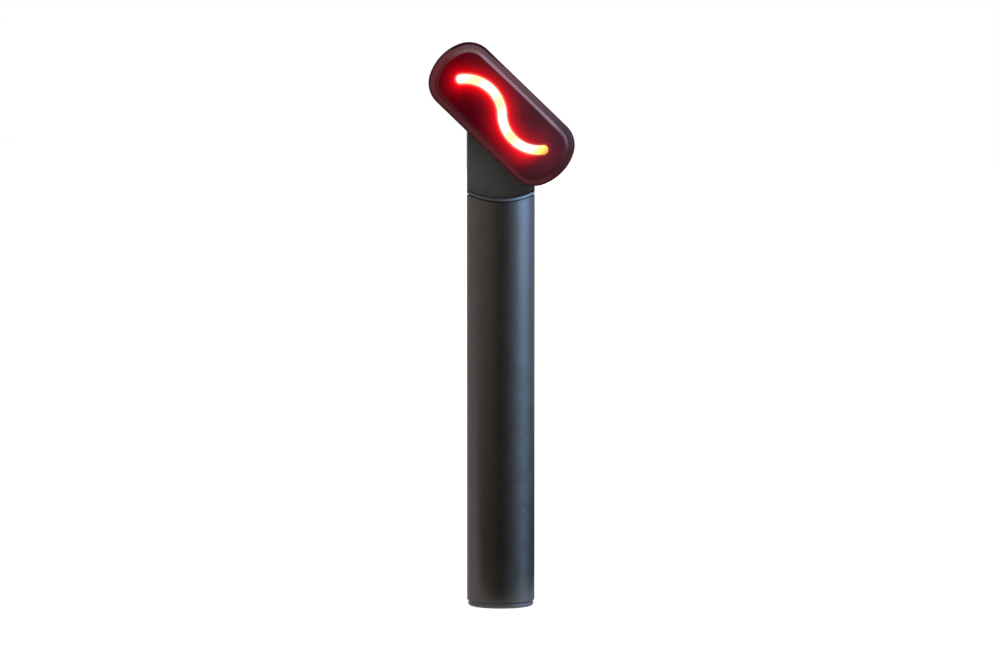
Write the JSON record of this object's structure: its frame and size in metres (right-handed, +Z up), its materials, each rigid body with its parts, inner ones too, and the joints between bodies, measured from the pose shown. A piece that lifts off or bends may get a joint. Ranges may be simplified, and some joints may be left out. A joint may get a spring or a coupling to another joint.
{
  "type": "red light therapy wand",
  "caption": "Slim round-handled facial wand; its flat pill-shaped head tilts on a hollow pivot and shows a glowing red wave behind a smoked window; rear power button, charging port in the base.",
  "frame": {"origin": "centre of the end cap's flat base face, on the handle's axis", "axes": "+Z up the handle towards the head; -Y out of the lit face; +X to the right seen from the front"},
  "size_m": [0.0404, 0.0201, 0.1574],
  "materials": {
    "anodised_black": "bead-blasted black anodised aluminium, satin",
    "trim_metal": "fine satin dark grey anodised aluminium",
    "neck_black": "matt black powder coat on a die casting",
    "seal_rubber": "plain black sealing rubber",
    "steel": "machined stainless steel",
    "screw_black": "black oxide steel",
    "chassis_plastic": "moulded dark grey plastic",
    "battery_foil": "pouch cell foil",
    "foam": "closed cell foam",
    "circuit_board": "green solder mask",
    "chip_black": "moulded epoxy",
    "white_plastic": "white moulded plastic",
    "button_black": "soft-touch black plastic",
    "weight_brass": "sintered weight",
    "port_steel": "drawn steel shell",
    "cap_black": "satin black",
    "lead_black": "silicone-sleeved lead",
    "head_shell": "dark maroon-brown plastic with a fine grain",
    "led_red": "diode lens",
    "light_wave": "lit diffusing light guide",
    "smoked_red_rim": "smoked red translucent plastic, fine satin grain",
    "smoked_red": "smoked red translucent plastic, fine satin grain"
  },
  "bodies": {
    "handle": {"handle_tube": "anodised_black", "shoulder_trim_ring": "trim_metal", "neck_frame": "neck_black", "neck_seal": "seal_rubber", "pivot_spindle": "steel", "spindle_screws": "steel", "stop_pin": "steel", "retaining_ring": "steel", "inner_chassis": "chassis_plastic", "battery_pack": "battery_foil", "battery_pad": "foam", "main_board": "circuit_board", "board_chips": "chip_black", "board_screws": "steel", "switch_body": "chip_black", "button_bezel": "trim_metal", "motor_can": "steel", "usb_port": "port_steel", "end_cap": "cap_black", "end_cap_seal": "seal_rubber", "head_lead": "lead_black"},
    "head": {"head_back_shell": "head_shell", "wave_washer": "steel", "head_connector": "white_plastic", "head_gasket": "seal_rubber", "led_board": "white_plastic", "red_leds": "led_red", "light_frame": "white_plastic", "light_guide": "light_wave", "head_bezel": "smoked_red_rim", "head_window": "smoked_red", "head_screws": "screw_black"},
    "power_button": {"power_button": "button_black", "switch_plunger": "white_plastic"},
    "motor_rotor": {"eccentric_weight": "weight_brass"}
  },
  "joints": [
    {"name": "head_tilt", "type": "hinge", "parent": "handle", "child": "head", "pos_m": [0, -0.0023, 0.13755], "axis": [0, -1, 0], "range_deg": [-46, 44]},
    {"name": "power_button_press", "type": "slide", "parent": "handle", "child": "power_button", "axis": [0, -1, 0], "range_m": [0, 0.0004], "stiffness_N_per_m": 2500},
    {"name": "motor_spin", "type": "hinge", "parent": "handle", "child": "motor_rotor", "pos_m": [0, -0.0036, 0.094], "axis": [0, 0, 1], "continuous": true}
  ]
}
